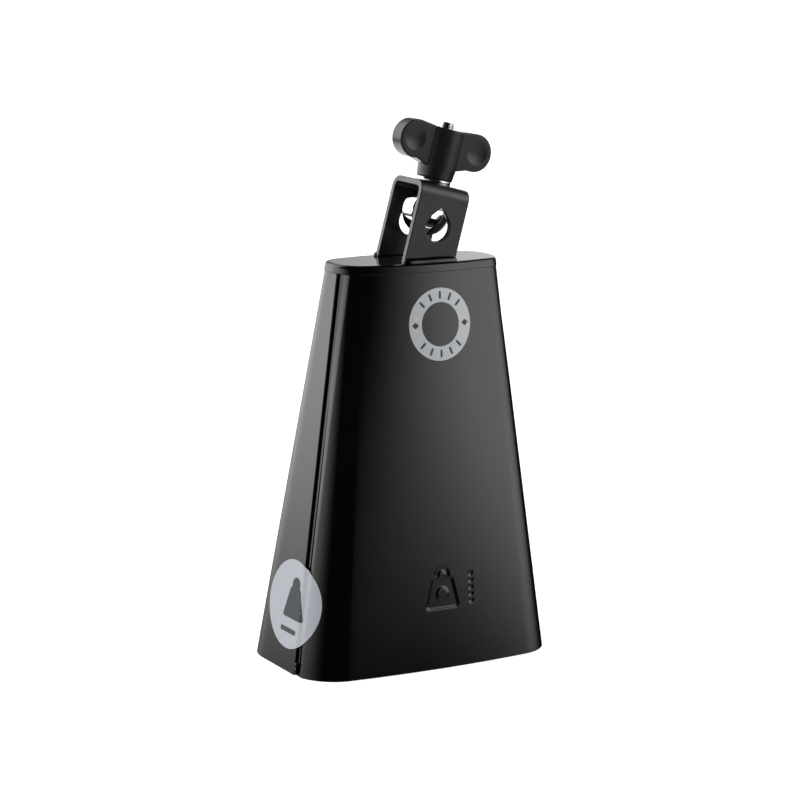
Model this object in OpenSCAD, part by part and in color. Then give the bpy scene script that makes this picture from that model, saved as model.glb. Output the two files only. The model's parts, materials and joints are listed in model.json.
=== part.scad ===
// Stick-played cowbell with a tilted clamp bracket, an eye bolt and a wing nut.
// Frame: origin in the middle of the mouth, +Z up towards the crown, -Y is the struck front panel.

/* [Bell body] */
// Height from the mouth to the top of the crown
bell_h = 203; // [150:1:260]
// Width of the mouth, left to right
mouth_w = 145.4; // [120:0.1:180]
// Depth of the mouth, front to back
mouth_d = 81.3; // [70:0.1:110]
// Corner radius at the mouth
mouth_r = 22.5; // [14:0.5:28]
// Outward bow of the panels at the mouth
mouth_bow = 2.2; // [1:0.1:5]
// Width of the crown
crown_w = 92.2; // [80:0.1:110]
// Depth of the crown
crown_d = 35.7; // [34:0.1:50]
// Corner radius at the crown
crown_r = 12.4; // [8:0.1:14]
// Outward bow of the panels at the crown
crown_bow = 3.3; // [1:0.1:4]
// Thickness of the steel sheet
sheet = 1.2; // [0.8:0.1:1.6]

/* [Seam and crown] */
// Distance of the side wall's front edge from the centre plane, at the mouth
seam_y_mouth = 17.5; // [15:0.1:20]
// The same distance at the crown
seam_y_crown = 6.0; // [4:0.1:8]
// Flat floor of the groove beside the seam
groove_floor = 1.9; // [1:0.1:3]
// Ramp from the groove floor up to the corner's face
groove_ramp = 3.6; // [1:0.1:5]
// Width of the flange that tucks in behind the side wall
lap = 9; // [5:0.5:12]
// Height of the crown's skirt
skirt_h = 4.4; // [3:0.1:8]
// How far the crown stands out past the shells
crown_proud = 0.4; // [0.2:0.1:0.8]
// Height of the weld tack at the mouth end of each seam
tack_h = 6; // [4:0.5:10]

/* [Clamp bracket] */
// Tilt of the bracket and of everything on it
tilt = 14; // [0:1:20]
// Distance of the bolt axis from the bell's centre, where it meets the crown
bracket_x = 2.0; // [-5:0.1:5]
// Width of the strap
strap_w = 29; // [24:0.5:34]
// Thickness of the strap
strap_t = 3; // [2:0.5:4]
// Depth across the two legs, outside to outside
strap_depth = 28.4; // [24:0.1:30]
// Height of the bridge's top above the crown, along the bolt axis
strap_h = 38.6; // [36:0.1:44]
// Outside radius of the two bends
bend_r = 5.5; // [4:0.5:8]
// Radius of the teardrop hole through each leg
rod_hole_r = 7.05; // [7:0.05:9]
// Height of the teardrop's round centre above the crown, along the bolt axis
rod_hole_z = 17.5; // [14:0.1:19]
// Height of the teardrop's point above its round centre
rod_hole_tip = 9.8; // [9:0.1:10.8]
// Leg of the weld bead along the foot of each leg
weld_leg = 2.8; // [2:0.1:3.2]

/* [Eye bolt] */
// Radius of the hole through the eye
eye_bore_r = 7; // [6:0.1:7.5]
// Outside radius of the eye
eye_r = 11.3; // [10.5:0.1:11.3]
// Width of the eye along its hole
eye_w = 10.5; // [7:0.1:12]
// Rounding of the eye's outer edges
eye_edge = 1.1; // [0.6:0.1:1.5]
// Bevel at both ends of the eye's hole
eye_bevel = 0.7; // [0.3:0.1:1.2]
// Gap between the top of the eye and the bridge when the bolt is fully up
eye_gap = 0.3; // [0.2:0.1:2]
// Radius of the threaded shank
shank_r = 3.95; // [3.5:0.05:4]
// Height of the shank's tip above the crown
shank_tip = 69.5; // [66:0.1:76]

/* [Wing nut] */
// Outside radius of the washer
washer_r = 8.6; // [8:0.1:10]
// Thickness of the washer
washer_t = 2; // [1.2:0.1:2.5]
// Radius of the hub where it meets the washer
hub_low_r = 9.1; // [8.5:0.1:9.6]
// Radius of the hub beside the wings
hub_r = 9.65; // [9:0.05:11]
// Height of the hub
hub_h = 25.6; // [24:0.1:30]
// Distance of each wing's round end from the axis, centre to centre
wing_x = 17.7; // [15:0.1:22]
// Radius of each wing's round end
wing_r = 9.6; // [8:0.1:11]
// Height of the round ends' centre above the hub's foot
wing_z = 17.3; // [16:0.1:20]
// Thickness of the wings
wing_t = 9.2; // [7:0.1:12]
// Radius of the thumb dish in each wing
dish_r = 5.9; // [5:0.1:7.5]
// Depth of the thumb dish
dish_depth = 0.9; // [0.6:0.1:2]
// Size across the flats of the threaded steel sleeve
sleeve_af = 12; // [11:0.5:13]
// Length of the threaded sleeve
sleeve_len = 21; // [15:0.5:22]

/* [Marks] */
// Outside radius of the silver ring on the front panel
ring_r = 18.1; // [12:0.1:20]
// Inside radius of the silver ring
ring_hole_r = 11; // [8:0.1:11.5]
// Height of the silver ring's centre
ring_z = 172.6; // [150:0.1:175]
// Sideways place of the silver ring's centre
ring_x = 5; // [-10:0.1:10]
// Radius of the round side sticker
badge_r = 22.2; // [15:0.1:24]
// Height of the round sticker's centre
badge_z = 33.4; // [30:0.1:80]
// Place of the round sticker's centre, measured towards the back
badge_y = -6.4; // [-10:0.1:5]
// Thickness of the ring and of the sticker
foil = 0.15; // [0.1:0.05:0.3]
// Adhesive under the ring and the sticker
glue = 0.06; // [0.05:0.01:0.1]

/* [Hidden] */

shell_top = bell_h - skirt_h;
levels = 12;            // steps up the shells
corner_steps = 10;      // steps round a corner
bow_steps = 16;         // steps across a bowed panel
crown_edge_r = 1.5;     // rounding of the crown's top edge
edge_steps = 3;         // steps round that edge
clear_r = 4.4;          // clearance holes for the shank
thread_gap = 0.1;       // clearance between the shank and the sleeve
nut_gap = 0.1;          // clearance between the hub and the washer
tip_chamfer = 0.9;
hub_chamfer = 0.7;
hub_flare_h = 5.4;      // height over which the hub widens
leg_y = strap_depth / 2;
washer_z = strap_h;
hub_z = strap_h + washer_t + nut_gap;
hub_top = hub_z + hub_h;
wing_cz = hub_z + wing_z;
eye_z = strap_h - strap_t - eye_gap - eye_r;

// ---- outline of the bell at a height: bowed front and back, straight sides, round corners ----
function mix(a, b, t) = a + (b - a) * t;
function half_w(z) = mix(mouth_w, crown_w, z / bell_h) / 2;
function half_d(z) = mix(mouth_d, crown_d, z / bell_h) / 2;
function corner_r(z) = mix(mouth_r, crown_r, z / bell_h);
function bow(z) = mix(mouth_bow, crown_bow, z / bell_h);
// Corner centre, across
function corner_x(z) = half_w(z) - corner_r(z);
// Radius of the bowed panel
function bow_r(z) = (pow(corner_x(z), 2) + pow(bow(z), 2)) / (2 * bow(z));
// Centre of the bow, towards the back
function bow_y(z) = bow_r(z) - half_d(z);
// Corner centre, towards the front (negative)
function corner_y(z) = bow_y(z) - sqrt(pow(bow_r(z) - corner_r(z), 2) - pow(corner_x(z), 2));
// Angle, measured from straight sideways, at which the corner runs into the bowed panel
function corner_end(z) = acos(corner_x(z) / (bow_r(z) - corner_r(z)));
function seam_y(z) = -mix(seam_y_mouth, seam_y_crown, z / bell_h);

// Half width of the outline at a place y near the seam, set in from the outer face
function wall_x(z, y, inset) =
    y > corner_y(z)
        ? half_w(z) - inset
        : corner_x(z) + sqrt(pow(corner_r(z) - inset, 2) - pow(corner_y(z) - y, 2));
// Point on the front right corner at an angle from straight sideways
function corner_point(z, angle, inset) = [
    corner_x(z) + (corner_r(z) - inset) * cos(angle),
    corner_y(z) - (corner_r(z) - inset) * sin(angle)
];
// Point on the bowed front at an angle from straight forwards, right positive
function bow_point(z, angle, inset) = [
    (bow_r(z) - inset) * sin(angle),
    bow_y(z) - (bow_r(z) - inset) * cos(angle)
];
// Depth of the front panel's outer face at a place across
function front_y(z, x) = bow_y(z) - sqrt(pow(bow_r(z), 2) - x * x);
function flip_x(p) = [-p[0], p[1]];
function flip_y(p) = [p[0], -p[1]];
function backwards(list) = [for (i = [len(list) - 1 : -1 : 0]) list[i]];

// Right half of the front shell's section, from the flange's end to the middle of the panel
function front_half(z, inset) =
    let (
        y0 = seam_y(z),
        y_full = y0 - groove_floor - groove_ramp,
        start = asin(min(1, (corner_y(z) - y_full) / corner_r(z))),
        end = corner_end(z)
    )
    [
        for (k = [0 : 1 : 1])
            let (y = y0 + lap * (1 - k) - groove_floor * k)
            [wall_x(z, y, sheet + inset), y],
        for (k = [0 : 1 : corner_steps])
            corner_point(z, mix(start, end, k / corner_steps), inset),
        for (k = [1 : 1 : bow_steps / 2])
            bow_point(z, mix(90 - end, 0, 2 * k / bow_steps), inset)
    ];
// The last point of the half is on the centre line, so its mirror copy leaves it out
function front_path(z, inset) =
    let (half = front_half(z, inset))
    concat(
        [for (p = half) flip_x(p)],
        backwards([for (i = [0 : 1 : len(half) - 2]) half[i]])
    );

// Right half of the back shell's section, from the side wall's edge to the middle of the back
function back_half(z, inset) =
    let (end = corner_end(z))
    [
        for (k = [0 : 1 : 5]) [half_w(z) - inset, mix(seam_y(z), -corner_y(z), k / 5)],
        for (k = [1 : 1 : corner_steps])
            flip_y(corner_point(z, end * k / corner_steps, inset)),
        for (k = [1 : 1 : bow_steps / 2])
            flip_y(bow_point(z, mix(90 - end, 0, 2 * k / bow_steps), inset))
    ];
function back_path(z, inset) =
    let (half = back_half(z, inset))
    concat(
        half,
        backwards([for (i = [0 : 1 : len(half) - 2]) flip_x(half[i])])
    );

// Whole closed outline, counter-clockwise from the right
function whole_half(z, inset) =
    let (end = corner_end(z))
    concat(
        [for (k = [0 : 1 : bow_steps / 2]) flip_x(bow_point(z, (90 - end) * 2 * k / bow_steps, inset))],
        backwards([for (k = [0 : 1 : corner_steps - 1]) flip_x(corner_point(z, end * k / corner_steps, inset))])
    );
function whole_path(z, inset) =
    let (
        quarter = whole_half(z, inset),
        left = concat(quarter, backwards([for (p = quarter) flip_y(p)])),
        inner = [for (i = [1 : 1 : len(left) - 2]) flip_x(left[i])]
    )
    concat(left, backwards(inner));

// ---- solids swept through a stack of sections ----
// rings: sections of equal length, lowest first; each runs clockwise seen from above
module stack(rings) {
    count = len(rings[0]);
    top = len(rings) - 1;
    points = [for (ring = rings) each ring];
    sides = [
        for (level = [0 : 1 : top - 1], i = [0 : 1 : count - 1])
            let (a = level * count + i, b = level * count + (i + 1) % count)
            each [[a, a + count, b + count], [a, b + count, b]]
    ];
    polyhedron(
        points = points,
        faces = concat(
            [backwards([for (i = [0 : 1 : count - 1]) i])],
            [[for (i = [0 : 1 : count - 1]) top * count + i]],
            sides
        ),
        convexity = 6
    );
}

// A strip of sheet: the outer path, then the inner path back, at each height
module sheet_strip(outer, inner, heights) {
    count = len(outer[0]);
    rows = len(heights);
    points = [
        for (j = [0 : 1 : rows - 1]) each concat(
            [for (p = outer[j]) [p[0], p[1], heights[j]]],
            [for (p = inner[j]) [p[0], p[1], heights[j]]]
        )
    ];
    row = 2 * count;
    walls = [
        for (j = [0 : 1 : rows - 2], i = [0 : 1 : count - 2])
            let (a = j * row + i, b = a + count)
            each [
                [a, a + row, a + row + 1], [a, a + row + 1, a + 1],
                [b, b + row + 1, b + row], [b, b + 1, b + row + 1]
            ]
    ];
    rims = [
        for (i = [0 : 1 : count - 2])
            let (a = i, b = i + count, t = (rows - 1) * row)
            each [
                [a, a + 1, b + 1, b],
                [a + t, b + t, b + t + 1, a + t + 1]
            ]
    ];
    ends = [
        for (j = [0 : 1 : rows - 2])
            let (a = j * row, b = a + count, c = a + count - 1, d = b + count - 1)
            each [[a, b, b + row, a + row], [c, c + row, d + row, d]]
    ];
    polyhedron(points = points, faces = concat(walls, rims, ends), convexity = 6);
}

shell_heights = [for (k = [0 : 1 : levels]) shell_top * k / levels];

// Everything on the bracket is drawn upright and leaned over here
module on_bracket() {
    translate([bracket_x, 0, bell_h]) rotate([0, tilt, 0]) children();
}

// ---- bell ----
module front_shell() {
    color([0.05, 0.05, 0.06])
    sheet_strip(
        [for (z = shell_heights) backwards(front_path(z, 0))],
        [for (z = shell_heights) backwards(front_path(z, sheet))],
        shell_heights
    );
}

module back_shell() {
    color([0.06, 0.06, 0.07])
    sheet_strip(
        [for (z = shell_heights) backwards(back_path(z, 0))],
        [for (z = shell_heights) backwards(back_path(z, sheet))],
        shell_heights
    );
}

module top_cap() {
    inner_top = bell_h - sheet;
    edge_z = bell_h - crown_edge_r;
    color([0.08, 0.08, 0.09])
    difference() {
        stack([
            [for (p = whole_path(shell_top, -crown_proud)) [p[0], p[1], shell_top]],
            for (k = [0 : 1 : edge_steps])
                let (
                    z = edge_z + crown_edge_r * sin(90 * k / edge_steps),
                    inset = crown_edge_r * (1 - cos(90 * k / edge_steps)) - crown_proud
                )
                [for (p = whole_path(z, inset)) [p[0], p[1], z]]
        ]);
        stack([
            for (z = [shell_top - 1, inner_top])
                [for (p = whole_path(z, sheet - crown_proud)) [p[0], p[1], z]]
        ]);
    }
}

// One tack: a small bead that fills the groove beside the wall's edge
module tack() {
    low = 0.6;
    heights = [low, low + tack_h / 2, low + tack_h];
    stack([
        for (z = heights)
            let (
                y0 = seam_y(z),
                y1 = seam_y(z) - groove_floor,
                full = z == heights[1] ? 0.1 : 0.5
            )
            [
                [wall_x(z, y0, sheet), y0, z],
                [wall_x(z, y0, full), y0, z],
                [wall_x(z, y1, full), y1, z],
                [wall_x(z, y1, sheet), y1, z]
            ]
    ]);
}

module seam_tacks() {
    color([0.05, 0.05, 0.05]) {
        tack();
        mirror([1, 0, 0]) tack();
    }
}

// ---- clamp bracket ----
module strap_outline(depth, height, r) {
    union() {
        translate([-depth / 2, -strap_w]) square([depth, height - r + strap_w]);
        translate([-depth / 2 + r, 0]) square([depth - 2 * r, height]);
        for (side = [-1, 1])
            translate([side * (depth / 2 - r), height - r]) circle(r = r, $fn = 64);
    }
}

module teardrop() {
    reach = rod_hole_r * sin(45);
    translate([0, 0, rod_hole_z]) rotate([90, 0, 0])
    linear_extrude(height = strap_depth + 10, center = true) {
        circle(r = rod_hole_r, $fn = 72);
        polygon([[-reach, reach], [0, rod_hole_tip], [reach, reach], [0, 0]]);
    }
}

module clamp_bracket() {
    color([0.12, 0.12, 0.12])
    difference() {
        on_bracket() difference() {
            rotate([90, 0, 90]) linear_extrude(height = strap_w, center = true)
            difference() {
                strap_outline(strap_depth, strap_h, bend_r);
                strap_outline(strap_depth - 2 * strap_t, strap_h - strap_t, bend_r - strap_t);
            }
            teardrop();
            cylinder(r = clear_r, h = strap_h + 1, $fn = 48);
        }
        translate([-strap_w * 2, -strap_depth, bell_h - strap_w * 3])
            cube([strap_w * 4, strap_depth * 2, strap_w * 3]);
    }
}

module weld_bead() {
    length = strap_w / cos(tilt) - weld_leg * 1.5;
    intersection() {
        translate([bracket_x, -leg_y, bell_h]) union() {
            translate([-length / 2, 0, 0]) rotate([0, 90, 0])
                cylinder(r = weld_leg, h = length, $fn = 48);
            for (side = [-1, 1])
                translate([side * length / 2, 0, 0]) sphere(r = weld_leg, $fn = 48);
        }
        translate([bracket_x - strap_w, -leg_y - strap_w, bell_h])
            cube([strap_w * 2, strap_w, strap_w]);
    }
}

module bracket_welds() {
    color([0.04, 0.04, 0.04]) {
        weld_bead();
        mirror([0, 1, 0]) weld_bead();
    }
}

module washer() {
    color([0.85, 0.85, 0.86])
    on_bracket() translate([0, 0, washer_z]) difference() {
        cylinder(r = washer_r, h = washer_t, $fn = 72);
        translate([0, 0, -1]) cylinder(r = clear_r, h = washer_t + 2, $fn = 48);
    }
}

// ---- eye bolt ----
// Half section of the eye: straight bore bevelled at its ends, plain outside with eased edges
module eye_section() {
    end = eye_w / 2;
    ease = eye_edge * 0.3;
    polygon([
        [eye_bore_r, end - eye_bevel],
        [eye_bore_r + eye_bevel, end],
        [eye_r - eye_edge, end],
        [eye_r - ease, end - ease],
        [eye_r, end - eye_edge],
        [eye_r, eye_edge - end],
        [eye_r - ease, ease - end],
        [eye_r - eye_edge, -end],
        [eye_bore_r + eye_bevel, -end],
        [eye_bore_r, eye_bevel - end]
    ]);
}

module eye_bolt() {
    shank_from = eye_z + (eye_r + eye_bore_r) / 2;
    color([0.8, 0.8, 0.82])
    on_bracket() {
        translate([0, 0, eye_z]) rotate([90, 0, 0])
            rotate_extrude($fn = 96) eye_section();
        translate([0, 0, shank_from])
            cylinder(r = shank_r, h = shank_tip - tip_chamfer - shank_from, $fn = 48);
        translate([0, 0, shank_tip - tip_chamfer])
            cylinder(r1 = shank_r, r2 = shank_r - tip_chamfer, h = tip_chamfer, $fn = 48);
    }
}

// ---- wing nut ----
// Outline of the two wings, seen square on
module wing_outline() {
    low = wing_cz - wing_r;
    fall = 2.3;
    inside = hub_r - 1.4;
    for (side = [-1, 1]) {
        translate([side * wing_x, wing_cz]) circle(r = wing_r, $fn = 96);
        polygon([
            [0, hub_top - 3],
            [side * inside, hub_top - 3],
            [side * inside, hub_top + 0.3],
            [side * (wing_x - 1.1), wing_cz + wing_r * 0.993],
            [side * wing_x, wing_cz],
            [side * (wing_x - 2.2), wing_cz - wing_r * 0.973],
            [side * hub_r * 0.75, low - fall],
            [0, low - fall]
        ]);
    }
}

module thumb_dish() {
    ball_r = (dish_r * dish_r + dish_depth * dish_depth) / (2 * dish_depth);
    for (side = [-1, 1], face = [-1, 1])
        translate([side * (wing_x + 1), face * (wing_t / 2 + ball_r - dish_depth), wing_cz])
            sphere(r = ball_r, $fn = 96);
}

module wing_nut() {
    color([0.1, 0.1, 0.1])
    on_bracket() difference() {
        union() {
            translate([0, 0, hub_z])
                cylinder(r1 = hub_low_r, r2 = hub_r, h = hub_flare_h, $fn = 96);
            translate([0, 0, hub_z + hub_flare_h])
                cylinder(r = hub_r, h = hub_h - hub_flare_h - hub_chamfer, $fn = 96);
            translate([0, 0, hub_top - hub_chamfer])
                cylinder(r1 = hub_r, r2 = hub_r - hub_chamfer, h = hub_chamfer, $fn = 96);
            rotate([90, 0, 0])
                linear_extrude(height = wing_t, center = true) wing_outline();
        }
        thumb_dish();
        translate([0, 0, hub_z - 1])
            cylinder(r = sleeve_af / 2 / cos(30), h = sleeve_len + 1, $fn = 6);
        translate([0, 0, hub_z]) cylinder(r = clear_r, h = hub_h + 1, $fn = 48);
    }
}

module threaded_sleeve() {
    color([0.75, 0.75, 0.72])
    on_bracket() translate([0, 0, hub_z]) difference() {
        cylinder(r = sleeve_af / 2 / cos(30), h = sleeve_len, $fn = 6);
        translate([0, 0, -1])
            cylinder(r = shank_r + thread_gap, h = sleeve_len + 2, $fn = 48);
    }
}

// ---- marks ----
// Flat ring laid on the bowed front panel
module front_ring() {
    steps = 72;
    slope = (mouth_d - crown_d) / 2 / bell_h;
    flat = 1 / sqrt(1 + slope * slope);
    points = [
        for (k = [0 : 1 : steps - 1], r = [ring_r, ring_hole_r], lift = [glue + foil, glue])
            let (
                x = ring_x + r * cos(360 * k / steps),
                z = ring_z + r * sin(360 * k / steps) * flat
            )
            [x, front_y(z, x) - lift, z]
    ];
    color([0.7, 0.72, 0.75])
    polyhedron(
        points = points,
        faces = [
            for (k = [0 : 1 : steps - 1])
                let (a = 4 * k, b = 4 * ((k + 1) % steps))
                each [
                    [a, b, b + 2, a + 2], [a + 3, b + 3, b + 1, a + 1],
                    [a + 1, b + 1, b, a], [a + 2, b + 2, b + 3, a + 3]
                ]
        ],
        convexity = 6
    );
}

// Place on the left wall: s runs towards the back from the centre plane, round the corner in front
function left_skin(s, z, lift) =
    let (
        over = corner_y(z) - s,
        angle = over / corner_r(z) * 180 / PI
    )
    s > seam_y(z)
        ? [-half_w(z) - lift, s, z]
        : let (p = corner_point(z, angle, -lift)) [-p[0], p[1], z];

module side_sticker() {
    steps = 72;
    rings = 12;
    points = [
        for (lift = [glue + foil, glue]) each concat(
            [left_skin(badge_y, badge_z, lift)],
            [for (j = [1 : 1 : rings], k = [0 : 1 : steps - 1])
                let (r = badge_r * j / rings, a = 360 * k / steps)
                left_skin(badge_y + r * cos(a), badge_z + r * sin(a), lift)]
        )
    ];
    half = 1 + rings * steps;
    rim = 1 + (rings - 1) * steps;
    color([0.75, 0.77, 0.8])
    polyhedron(
        points = points,
        faces = [
            for (k = [0 : 1 : steps - 1])
                let (n = (k + 1) % steps)
                each [
                    [0, 1 + k, 1 + n],
                    [half, half + 1 + n, half + 1 + k],
                    [rim + k, half + rim + k, half + rim + n, rim + n]
                ],
            for (j = [0 : 1 : rings - 2], k = [0 : 1 : steps - 1])
                let (a = 1 + j * steps + k, b = 1 + j * steps + (k + 1) % steps)
                each [
                    [a, a + steps, b + steps], [a, b + steps, b],
                    [half + a, half + b + steps, half + a + steps], [half + a, half + b, half + b + steps]
                ]
        ],
        convexity = 6
    );
}

front_shell();
back_shell();
top_cap();
seam_tacks();
clamp_bracket();
bracket_welds();
washer();
front_ring();
side_sticker();
eye_bolt();
wing_nut();
threaded_sleeve();
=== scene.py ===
"""Rod-mounted cowbell: every visible piece and finish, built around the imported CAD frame."""
import json
from collections import namedtuple
from functools import lru_cache
from math import acos, asin, ceil, copysign, cos, hypot, pi, radians, sin, sqrt
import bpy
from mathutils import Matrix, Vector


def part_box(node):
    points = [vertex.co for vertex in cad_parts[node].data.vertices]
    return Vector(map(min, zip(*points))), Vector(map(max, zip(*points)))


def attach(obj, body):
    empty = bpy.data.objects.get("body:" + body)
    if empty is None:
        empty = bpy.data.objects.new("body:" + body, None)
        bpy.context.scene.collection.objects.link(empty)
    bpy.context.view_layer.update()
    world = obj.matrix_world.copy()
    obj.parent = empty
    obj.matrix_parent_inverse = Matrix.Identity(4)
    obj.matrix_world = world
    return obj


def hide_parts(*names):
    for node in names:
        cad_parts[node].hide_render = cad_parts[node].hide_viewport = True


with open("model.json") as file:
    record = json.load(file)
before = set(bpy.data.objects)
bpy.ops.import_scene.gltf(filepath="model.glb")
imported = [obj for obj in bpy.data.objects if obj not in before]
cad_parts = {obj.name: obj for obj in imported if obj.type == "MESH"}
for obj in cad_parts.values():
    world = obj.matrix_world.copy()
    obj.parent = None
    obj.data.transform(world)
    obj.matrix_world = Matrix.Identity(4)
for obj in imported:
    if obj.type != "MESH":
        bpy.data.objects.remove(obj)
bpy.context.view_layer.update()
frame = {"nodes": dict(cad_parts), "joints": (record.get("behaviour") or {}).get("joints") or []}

from types import SimpleNamespace

import bmesh
import bpy
from mathutils import Matrix, Vector

# ---------------------------------------------------------------- driving sizes, in metres
MM = 0.001
BELL_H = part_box("top_cap")[1].z
SHELL_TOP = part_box("back_shell")[1].z
Section = namedtuple("Section", "width depth corner bow")
MOUTH = Section(
    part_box("back_shell")[1].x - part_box("back_shell")[0].x,
    2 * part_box("back_shell")[1].y,
    22.5 * MM,
    2.2 * MM,
)
CROWN = Section(92.2 * MM, 35.7 * MM, 12.4 * MM, 3.3 * MM)
SHEET = 1.2 * MM
SEAM_MOUTH, SEAM_CROWN = 17.5 * MM, 6.0 * MM
GROOVE_FLOOR, GROOVE_RAMP, LAP = 1.9 * MM, 3.6 * MM, 9 * MM
CROWN_PROUD, CROWN_EDGE = 0.4 * MM, 1.5 * MM

NUT = next(joint for joint in frame["joints"] if joint["name"] == "wing_nut_turn")
BOLT_AXIS = Vector(NUT["axis"]).normalized()
TILT = asin(BOLT_AXIS.x)
FOOT = Vector(NUT["pos_m"]) - BOLT_AXIS * ((NUT["pos_m"][2] - BELL_H) / BOLT_AXIS.z)
LEAN = Matrix.Translation(FOOT) @ Matrix.Rotation(TILT, 4, "Y")

STRAP_W, STRAP_T = 29 * MM, 3 * MM
STRAP_DEPTH = 2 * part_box("clamp_bracket")[1].y
STRAP_H, BEND_R = 38.6 * MM, 5.5 * MM
ROD_HOLE_R, ROD_HOLE_Z, ROD_HOLE_TIP = 7.05 * MM, 17.5 * MM, 9.8 * MM
ROD_HOLE_TIP_R = 1.15 * MM
CLEAR_R = 4.4 * MM
EYE_BORE_R, EYE_R, EYE_W, EYE_EDGE = 7 * MM, 11.3 * MM, 10.5 * MM, 1.1 * MM
EYE_Z = STRAP_H - STRAP_T - 0.3 * MM - EYE_R
SHANK_R, SHANK_TIP, PITCH = 3.95 * MM, 69.5 * MM, 1.25 * MM
WASHER_R, WASHER_T = 8.6 * MM, 2 * MM
HUB_Z = STRAP_H + WASHER_T + 0.1 * MM
HUB_H, HUB_LOW_R, HUB_R, HUB_FLARE = 25.6 * MM, 9.1 * MM, 9.65 * MM, 5.4 * MM
WING_X, WING_R, WING_T = 17.7 * MM, 9.6 * MM, 9.2 * MM
WING_Z = HUB_Z + 17.3 * MM
DISH_R, DISH_DEPTH = 5.9 * MM, 0.9 * MM
FOIL = 0.15 * MM
WELD_R, TACK_R = 2.75 * MM, 1.15 * MM
TACK_IN, TACK_OUT = 0.95 * MM, 0.35 * MM  # a tack's middle, in from the seam and out from the flange
RING_AT, RING_R, RING_HOLE_R = (5 * MM, 172.6 * MM), 18.1 * MM, 11 * MM
BADGE_AT, BADGE_R = (-6.4 * MM, 33.4 * MM), 22.2 * MM
EMBLEM_AT, EMBLEM_DEPTH = (1.6 * MM, 40.5 * MM), 0.55 * MM
FLAT_HALF = 24 * MM  # half width of the middle of the front panel, which has its own mesh columns


# ---------------------------------------------------------------- outline of the bell
def mix(a, b, t):
    """The value a share t of the way from a to b."""
    return a + (b - a) * t


def smooth(t):
    """Eases a share in and out, and holds it between 0 and 1."""
    t = min(1.0, max(0.0, t))
    return t * t * (3 - 2 * t)


@lru_cache(maxsize=None)
def section(z):
    """Outline at a height: straight sides, round corners, bowed front and back."""
    width, depth, corner, bow = (mix(a, b, z / BELL_H) for a, b in zip(MOUTH, CROWN))
    corner_x = width / 2 - corner
    bow_r = (corner_x**2 + bow**2) / (2 * bow)
    bow_y = bow_r - depth / 2
    corner_y = bow_y - sqrt((bow_r - corner) ** 2 - corner_x**2)
    end = acos(corner_x / (bow_r - corner))
    return SimpleNamespace(
        half_w=width / 2, corner=corner, corner_x=corner_x, corner_y=corner_y,
        bow_r=bow_r, bow_y=bow_y, end=end, edge_x=bow_r * cos(end),
        seam_y=-mix(SEAM_MOUTH, SEAM_CROWN, z / BELL_H),
    )


def corner_point(z, angle, inset):
    """Point on the front right corner; the angle runs from the side wall round to the front."""
    s = section(z)
    r = s.corner - inset
    return s.corner_x + r * cos(angle), s.corner_y - r * sin(angle)


def panel_point(z, x, inset):
    """Point on the bowed front panel."""
    s = section(z)
    return x, s.bow_y - sqrt((s.bow_r - inset) ** 2 - x * x)


def wall_x(z, y, inset):
    """Half width at a depth, on the side wall or round its corner."""
    s = section(z)
    if y > s.corner_y:
        return s.half_w - inset
    return s.corner_x + sqrt((s.corner - inset) ** 2 - (s.corner_y - y) ** 2)


def panel_x(z, u):
    """Place across the front panel: fixed columns in the middle, stretched ones beside them."""
    if abs(u) <= 1:
        return u * FLAT_HALF
    return copysign(FLAT_HALF + (abs(u) - 1) * (section(z).edge_x - FLAT_HALF), u)


# ---------------------------------------------------------------- mesh helpers
def finish_piece(bm, name, material, body, replaces=(), sharp=35):
    """Turns a bmesh into a piece at the origin with its finish and body, and hides the CAD parts it
    replaces.
    """
    mesh = bpy.data.meshes.new(name)
    bm.to_mesh(mesh)
    bm.free()
    piece = bpy.data.objects.new(name, mesh)
    bpy.context.scene.collection.objects.link(piece)
    mesh.materials.append(material)
    mesh.shade_smooth()
    mesh.set_sharp_from_angle(angle=radians(sharp))
    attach(piece, body)
    if replaces:
        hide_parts(*replaces)
    return piece


def with_modifiers(bm, *settings):
    """The bmesh after a list of (modifier type, {setting: value}) has been applied."""
    mesh = bpy.data.meshes.new("work")
    bm.to_mesh(mesh)
    bm.free()
    work = bpy.data.objects.new("work", mesh)
    bpy.context.scene.collection.objects.link(work)
    for kind, values in settings:
        modifier = work.modifiers.new(kind.title(), kind)
        for key, value in values.items():
            setattr(modifier, key, value)
    done = bpy.data.meshes.new_from_object(
        work.evaluated_get(bpy.context.evaluated_depsgraph_get())
    )
    made = bmesh.new()
    made.from_mesh(done)
    bpy.data.objects.remove(work)
    bpy.data.meshes.remove(mesh)
    bpy.data.meshes.remove(done)
    return made


def cut_with(bm, cutters, operation="DIFFERENCE"):
    """The bmesh after a boolean with each of the closed bmeshes."""
    tools = []
    for cutter in cutters:
        mesh = bpy.data.meshes.new("cutter")
        cutter.to_mesh(mesh)
        cutter.free()
        tool = bpy.data.objects.new("cutter", mesh)
        bpy.context.scene.collection.objects.link(tool)
        tools.append(tool)
    settings = [
        ("BOOLEAN", {"operation": operation, "solver": "EXACT", "object": tool})
        for tool in tools
    ]
    made = with_modifiers(bm, *settings)
    for tool in tools:
        bpy.data.objects.remove(tool)
    return made


def laid_grid(columns, rows, place):
    """A grid whose vertices are laid on a surface: place(column value, row value)."""
    bm = bmesh.new()
    nu, nv = len(columns) - 1, len(rows) - 1
    bmesh.ops.create_grid(bm, x_segments=nu, y_segments=nv, size=0.5)
    for v in bm.verts:
        i, j = round((v.co.x + 0.5) * nu), round((v.co.y + 0.5) * nv)
        v.co = place(columns[i], rows[j])
    return bm


def close_up(bm, gap=1e-7):
    """Merges the seam of a wrapped grid, fills its open ends and points its faces outwards."""
    bmesh.ops.remove_doubles(bm, verts=bm.verts, dist=gap)
    bmesh.ops.holes_fill(bm, edges=[e for e in bm.edges if e.is_boundary], sides=0)
    bmesh.ops.recalc_face_normals(bm, faces=bm.faces)
    return bm


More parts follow.
